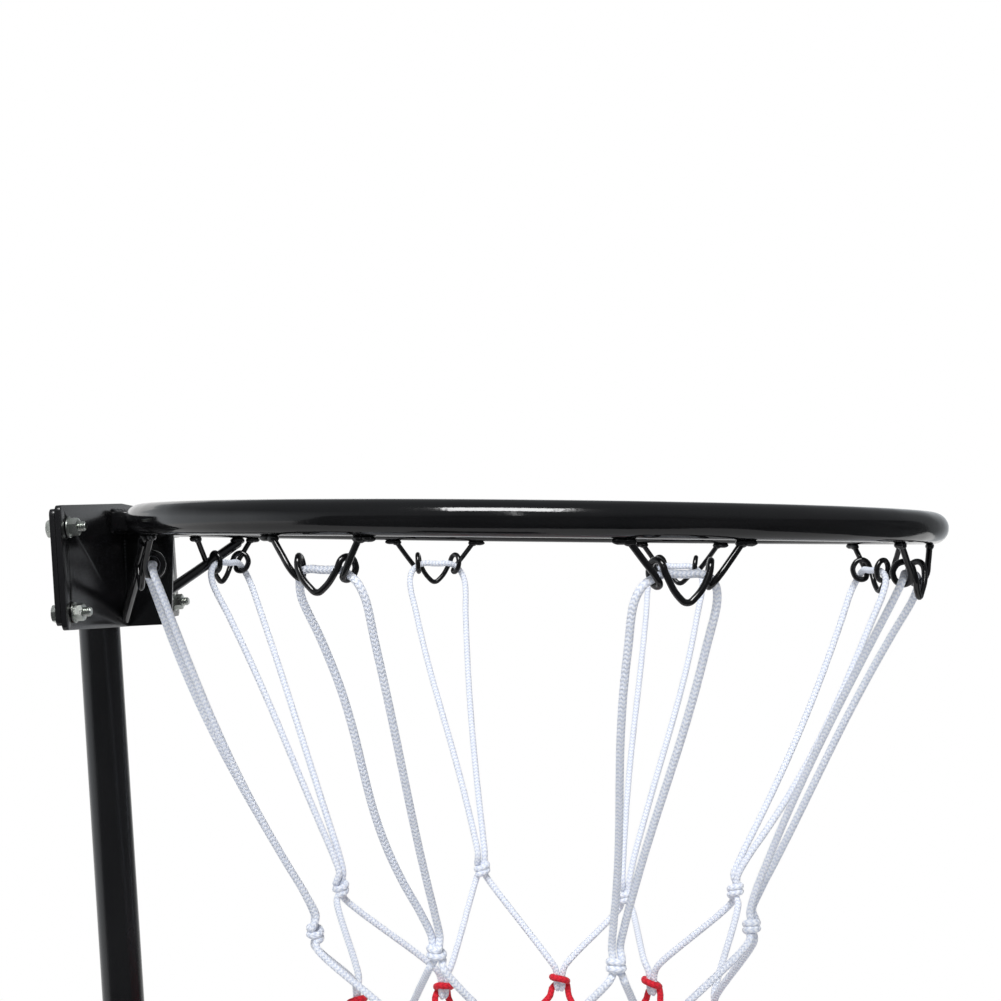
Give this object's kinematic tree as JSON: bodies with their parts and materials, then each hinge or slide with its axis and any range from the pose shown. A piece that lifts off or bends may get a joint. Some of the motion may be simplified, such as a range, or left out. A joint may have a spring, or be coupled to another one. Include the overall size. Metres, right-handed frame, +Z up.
{
  "type": "adjustable basketball stand",
  "caption": "Free-standing streetball stand: steel ring with knotted net on bolted plates, telescopic post with hand clamps, and a water-filled rolling base.",
  "frame": {"origin": "on the floor, on the axis of the post, under the base's flat bottom", "axes": "+Z up along the post; -Y from the post towards the ring; X to the sides, along the wheel axle"},
  "size_m": [0.52, 1.1164, 2.162],
  "materials": {
    "base_tank": "satin",
    "post_sleeve": "matte",
    "water_fill": "gloss",
    "low_tube": "satin",
    "clamp_collar_low": "satin",
    "wheel_axle": "satin",
    "axle_cap_left": "matte",
    "axle_cap_right": "matte",
    "strut_left": "satin",
    "strut_right": "satin",
    "strut_cross_bolt": "satin",
    "strut_cross_nut": "satin",
    "strut_foot_bolt_left": "satin",
    "strut_foot_bolt_right": "satin",
    "mid_tube": "satin",
    "mid_foot_bush": "matte",
    "mid_stop_rivet": "satin",
    "clamp_collar_mid": "satin",
    "top_tube": "satin",
    "top_foot_bush": "matte",
    "top_end_cap": "satin",
    "rim_plate": "satin",
    "post_plate": "satin",
    "plate_bolt_1": "satin",
    "plate_bolt_2": "satin",
    "plate_bolt_3": "satin",
    "plate_bolt_4": "satin",
    "plate_nut_1": "satin",
    "plate_nut_2": "satin",
    "plate_nut_3": "satin",
    "plate_nut_4": "satin",
    "rim_ring": "gloss",
    "rim_stub": "gloss",
    "brace_rod_left": "gloss",
    "brace_rod_right": "gloss",
    "net_hook_1": "gloss",
    "net_hook_2": "gloss",
    "net_hook_3": "gloss",
    "net_hook_4": "gloss",
    "net_hook_5": "gloss",
    "net_hook_6": "gloss",
    "net_hook_7": "gloss",
    "net_hook_8": "gloss",
    "net_white": "matte",
    "net_red": "matte",
    "net_blue": "matte",
    "clamp_pad_low": "matte",
    "clamp_screw_low": "satin",
    "clamp_knob_low": "satin",
    "clamp_pad_mid": "matte",
    "clamp_screw_mid": "satin",
    "clamp_knob_mid": "satin",
    "filler_seal": "matte",
    "filler_cap": "satin",
    "wheel_left": "satin",
    "wheel_right": "satin"
  },
  "bodies": {
    "base": {"base_tank": "base_tank", "post_sleeve": "post_sleeve", "water_fill": "water_fill", "low_tube": "low_tube", "clamp_collar_low": "clamp_collar_low", "wheel_axle": "wheel_axle", "axle_cap_left": "axle_cap_left", "axle_cap_right": "axle_cap_right", "strut_left": "strut_left", "strut_right": "strut_right", "strut_cross_bolt": "strut_cross_bolt", "strut_cross_nut": "strut_cross_nut", "strut_foot_bolt_left": "strut_foot_bolt_left", "strut_foot_bolt_right": "strut_foot_bolt_right"},
    "mid_mast": {"mid_tube": "mid_tube", "mid_foot_bush": "mid_foot_bush", "mid_stop_rivet": "mid_stop_rivet", "clamp_collar_mid": "clamp_collar_mid"},
    "top_mast": {"top_tube": "top_tube", "top_foot_bush": "top_foot_bush", "top_end_cap": "top_end_cap", "rim_plate": "rim_plate", "post_plate": "post_plate", "plate_bolt_1": "plate_bolt_1", "plate_bolt_2": "plate_bolt_2", "plate_bolt_3": "plate_bolt_3", "plate_bolt_4": "plate_bolt_4", "plate_nut_1": "plate_nut_1", "plate_nut_2": "plate_nut_2", "plate_nut_3": "plate_nut_3", "plate_nut_4": "plate_nut_4", "rim_ring": "rim_ring", "rim_stub": "rim_stub", "brace_rod_left": "brace_rod_left", "brace_rod_right": "brace_rod_right", "net_hook_1": "net_hook_1", "net_hook_2": "net_hook_2", "net_hook_3": "net_hook_3", "net_hook_4": "net_hook_4", "net_hook_5": "net_hook_5", "net_hook_6": "net_hook_6", "net_hook_7": "net_hook_7", "net_hook_8": "net_hook_8", "net_white": "net_white", "net_red": "net_red", "net_blue": "net_blue"},
    "low_pad": {"clamp_pad_low": "clamp_pad_low"},
    "low_knob": {"clamp_screw_low": "clamp_screw_low", "clamp_knob_low": "clamp_knob_low"},
    "mid_pad": {"clamp_pad_mid": "clamp_pad_mid"},
    "mid_knob": {"clamp_screw_mid": "clamp_screw_mid", "clamp_knob_mid": "clamp_knob_mid"},
    "seal": {"filler_seal": "filler_seal"},
    "cap": {"filler_cap": "filler_cap"},
    "wheel_left": {"wheel_left": "wheel_left"},
    "wheel_right": {"wheel_right": "wheel_right"}
  },
  "joints": [
    {"name": "mid_slide", "type": "slide", "parent": "base", "child": "mid_mast", "axis": [0, 0, 1], "range_m": [0, 0.45]},
    {"name": "top_slide", "type": "slide", "parent": "mid_mast", "child": "top_mast", "axis": [0, 0, 1], "range_m": [0, 0.45]},
    {"name": "low_pad_travel", "type": "slide", "parent": "base", "child": "low_pad", "axis": [0, 1, 0], "range_m": [0, 0.00375]},
    {"name": "low_knob_turn", "type": "hinge", "parent": "low_pad", "child": "low_knob", "pos_m": [0, 0.0163, 1.0793], "axis": [0, 1, 0], "range_deg": [0, 1080]},
    {"name": "mid_pad_travel", "type": "slide", "parent": "mid_mast", "child": "mid_pad", "axis": [0, 1, 0], "range_m": [0, 0.00375]},
    {"name": "mid_knob_turn", "type": "hinge", "parent": "mid_pad", "child": "mid_knob", "pos_m": [0, 0.0128, 1.5293], "axis": [0, 1, 0], "range_deg": [0, 1080]},
    {"name": "seal_lift", "type": "slide", "parent": "base", "child": "seal", "axis": [0, 0, 1], "range_m": [0, 0.008]},
    {"name": "cap_turn", "type": "hinge", "parent": "seal", "child": "cap", "pos_m": [0, 0.5, 0.142], "axis": [0, 0, 1], "range_deg": [0, 720]},
    {"name": "wheel_left_roll", "type": "hinge", "parent": "base", "child": "wheel_left", "pos_m": [-0.225, -0.098, 0.057], "axis": [1, 0, 0], "continuous": true},
    {"name": "wheel_right_roll", "type": "hinge", "parent": "base", "child": "wheel_right", "pos_m": [0.225, -0.098, 0.057], "axis": [1, 0, 0], "continuous": true}
  ],
  "couplings": [
    {"joint": "low_pad_travel", "follows": "low_knob_turn", "m_per_rad": 0.00019894},
    {"joint": "mid_pad_travel", "follows": "mid_knob_turn", "m_per_rad": 0.00019894},
    {"joint": "seal_lift", "follows": "cap_turn", "m_per_rad": 0.00063662}
  ]
}
